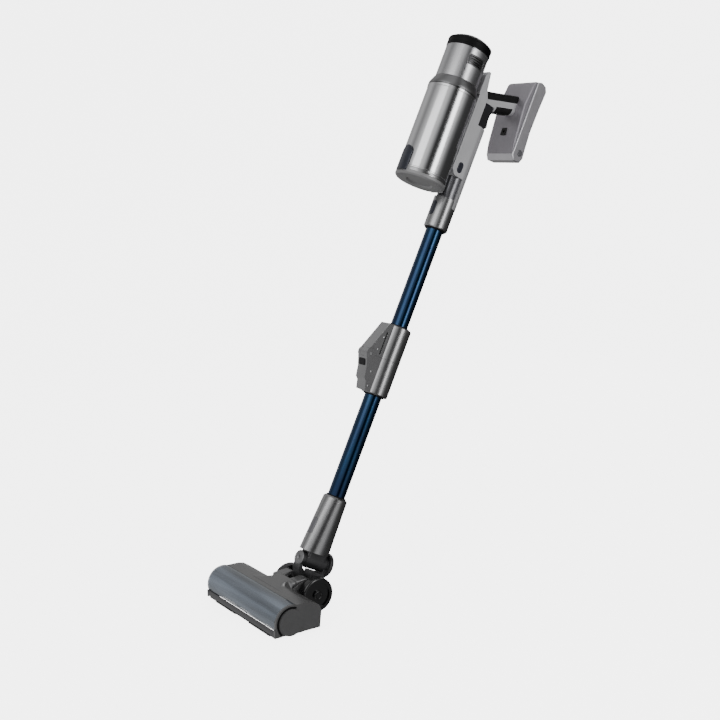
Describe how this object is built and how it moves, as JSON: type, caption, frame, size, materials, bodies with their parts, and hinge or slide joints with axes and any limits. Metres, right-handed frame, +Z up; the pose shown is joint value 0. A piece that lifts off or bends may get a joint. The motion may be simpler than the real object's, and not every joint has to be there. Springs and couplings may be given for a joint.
{
  "type": "cordless stick vacuum cleaner",
  "caption": "Cordless stick vacuum with a hand-held cyclone unit, a folding wand, a swivelling neck and a powered floor head",
  "frame": {"origin": "On the floor, under the middle of the machine's length and width", "axes": "+Z up, the floor head faces -Y, X across the machine"},
  "size_m": [0.265, 0.717, 1.1031],
  "materials": {
    "spine_grey": "satin",
    "gunmetal": "satin metallic",
    "bin_smoke": "smoked, glossy",
    "black_plastic": "matt",
    "button_dark": "satin",
    "violet_black": "glossy",
    "grip_rubber": "matt",
    "seal_rubber": "matt",
    "tube_blue": "anodised deep blue",
    "collar_grey": "satin metallic",
    "elbow_grey": "satin",
    "head_grey": "satin",
    "window_smoke": "smoked, clear",
    "lip_clear": "glossy",
    "wheel_black": "glossy",
    "steel": "brushed",
    "motor_alloy": "cast",
    "brass": "polished",
    "board_green": "matt",
    "cell_wrap": "satin",
    "filter_white": "pleated",
    "pile": "soft pile",
    "felt": "felt"
  },
  "bodies": {
    "main": {"wand_socket": "collar_grey", "spine_duct": "black_plastic", "spine_cover": "spine_grey", "control_board": "board_green", "cyclone_shroud": "gunmetal", "cyclone_cone": "black_plastic", "shoulder_ring": "gunmetal", "motor_housing": "gunmetal", "exhaust_grilles": "black_plastic", "suction_motor": "motor_alloy", "grip_top": "grip_rubber", "grip_bottom": "grip_rubber", "handle_bar": "spine_grey", "handle_frame": "elbow_grey", "charge_socket": "black_plastic", "pack_contacts": "brass"},
    "trigger": {"trigger": "violet_black"},
    "wand_button": {"wand_release_button": "button_dark"},
    "bin_button": {"bin_release_button": "button_dark"},
    "bin": {"bin_cup": "bin_smoke", "bin_hinge_pin": "steel"},
    "lid": {"bin_lid": "gunmetal", "bin_seal": "seal_rubber"},
    "bin_catch": {"bin_latch": "button_dark"},
    "fan": {"impeller": "black_plastic", "motor_shaft": "steel"},
    "filter": {"filter_cap": "black_plastic", "filter_element": "filter_white"},
    "battery": {"battery_case": "gunmetal", "battery_cells": "cell_wrap"},
    "battery_catch": {"battery_button": "button_dark"},
    "wand": {"upper_tube": "tube_blue", "fold_upper": "collar_grey", "fold_pin": "steel", "fold_cuff": "seal_rubber"},
    "lower_wand": {"fold_lower": "collar_grey", "lower_tube": "tube_blue", "neck_sleeve": "collar_grey", "neck_barrel": "elbow_grey"},
    "fold_catch": {"fold_button": "black_plastic"},
    "neck_catch": {"neck_button": "button_dark"},
    "yoke": {"yoke": "elbow_grey", "swivel_pin": "steel"},
    "head": {"head_housing": "head_grey", "head_duct": "black_plastic", "base_plate": "black_plastic", "glide_strips": "felt", "roller_window": "window_smoke", "front_lip": "lip_clear", "end_cap_right": "head_grey", "end_cap_left": "head_grey", "neck_fork": "head_grey", "wheel_axle": "steel", "brush_motor": "steel", "brush_belt": "seal_rubber"},
    "roller": {"roller_core": "black_plastic", "roller_pile": "pile"},
    "pulley": {"brush_pulley": "steel"},
    "right_wheel": {"wheel_right": "wheel_black"},
    "left_wheel": {"wheel_left": "wheel_black"}
  },
  "joints": [
    {"name": "trigger_pull", "type": "slide", "parent": "main", "child": "trigger", "axis": [0, -0.9063, 0.4226], "range_m": [0, 0.003], "stiffness_N_per_m": 600, "springref_m": -0.004},
    {"name": "wand_release", "type": "slide", "parent": "main", "child": "wand_button", "axis": [0, 0.9063, -0.4226], "range_m": [0, 0.002], "stiffness_N_per_m": 800, "springref_m": -0.002},
    {"name": "bin_release", "type": "slide", "parent": "main", "child": "bin_button", "axis": [-1, 0, 0], "range_m": [0, 0.0016], "stiffness_N_per_m": 800, "springref_m": -0.002},
    {"name": "bin_slide", "type": "slide", "parent": "main", "child": "bin", "axis": [0, -0.4226, -0.9063], "range_m": [0, 0.06]},
    {"name": "lid_hinge", "type": "hinge", "parent": "bin", "child": "lid", "pos_m": [0, 0.1053, 0.79487], "axis": [1, 0, 0], "range_deg": [0, 85]},
    {"name": "bin_catch_slide", "type": "slide", "parent": "bin", "child": "bin_catch", "axis": [0, -0.4226, -0.9063], "range_m": [0, 0.003], "stiffness_N_per_m": 800, "springref_m": -0.002},
    {"name": "fan_spin", "type": "hinge", "parent": "main", "child": "fan", "pos_m": [0, 0.15646, 1.01816], "axis": [0, 0.4226, 0.9063], "continuous": true},
    {"name": "filter_lift", "type": "slide", "parent": "main", "child": "filter", "axis": [0, 0.4226, 0.9063], "range_m": [0, 0.04]},
    {"name": "battery_slide", "type": "slide", "parent": "main", "child": "battery", "axis": [0, -0.4226, -0.9063], "range_m": [0, 0.09]},
    {"name": "battery_release", "type": "slide", "parent": "battery", "child": "battery_catch", "axis": [-1, 0, 0], "range_m": [0, 0.002], "stiffness_N_per_m": 800, "springref_m": -0.002},
    {"name": "wand_slide", "type": "slide", "parent": "main", "child": "wand", "axis": [0, -0.4226, -0.9063], "range_m": [0, 0.05]},
    {"name": "wand_fold", "type": "hinge", "parent": "wand", "child": "lower_wand", "pos_m": [0, -0.06473, 0.48466], "axis": [-1, 0, 0], "range_deg": [0, 90]},
    {"name": "fold_release", "type": "slide", "parent": "lower_wand", "child": "fold_catch", "axis": [0, 0.9991, -0.0415], "range_m": [0, 0.0014], "stiffness_N_per_m": 800, "springref_m": -0.002},
    {"name": "neck_release", "type": "slide", "parent": "lower_wand", "child": "neck_catch", "axis": [0, 0.9063, -0.4226], "range_m": [0, 0.002], "stiffness_N_per_m": 800, "springref_m": -0.002},
    {"name": "neck_swivel", "type": "hinge", "parent": "lower_wand", "child": "yoke", "pos_m": [0, -0.1951, 0.08203], "axis": [0, 0.9063, -0.4226], "range_deg": [-60, 60]},
    {"name": "neck_pitch", "type": "hinge", "parent": "yoke", "child": "head", "pos_m": [0, -0.2175, 0.034], "axis": [1, 0, 0], "range_deg": [-24, 54]},
    {"name": "roller_spin", "type": "hinge", "parent": "head", "child": "roller", "pos_m": [0, -0.3235, 0.028], "axis": [1, 0, 0], "continuous": true},
    {"name": "brush_motor_spin", "type": "hinge", "parent": "head", "child": "pulley", "pos_m": [-0.12, -0.276, 0.031], "axis": [1, 0, 0], "continuous": true},
    {"name": "right_wheel_spin", "type": "hinge", "parent": "head", "child": "right_wheel", "pos_m": [0.048, -0.2175, 0.034], "axis": [1, 0, 0], "continuous": true},
    {"name": "left_wheel_spin", "type": "hinge", "parent": "head", "child": "left_wheel", "pos_m": [-0.048, -0.2175, 0.034], "axis": [1, 0, 0], "continuous": true}
  ],
  "couplings": [
    {"joint": "brush_motor_spin", "follows": "roller_spin", "ratio": 2}
  ]
}
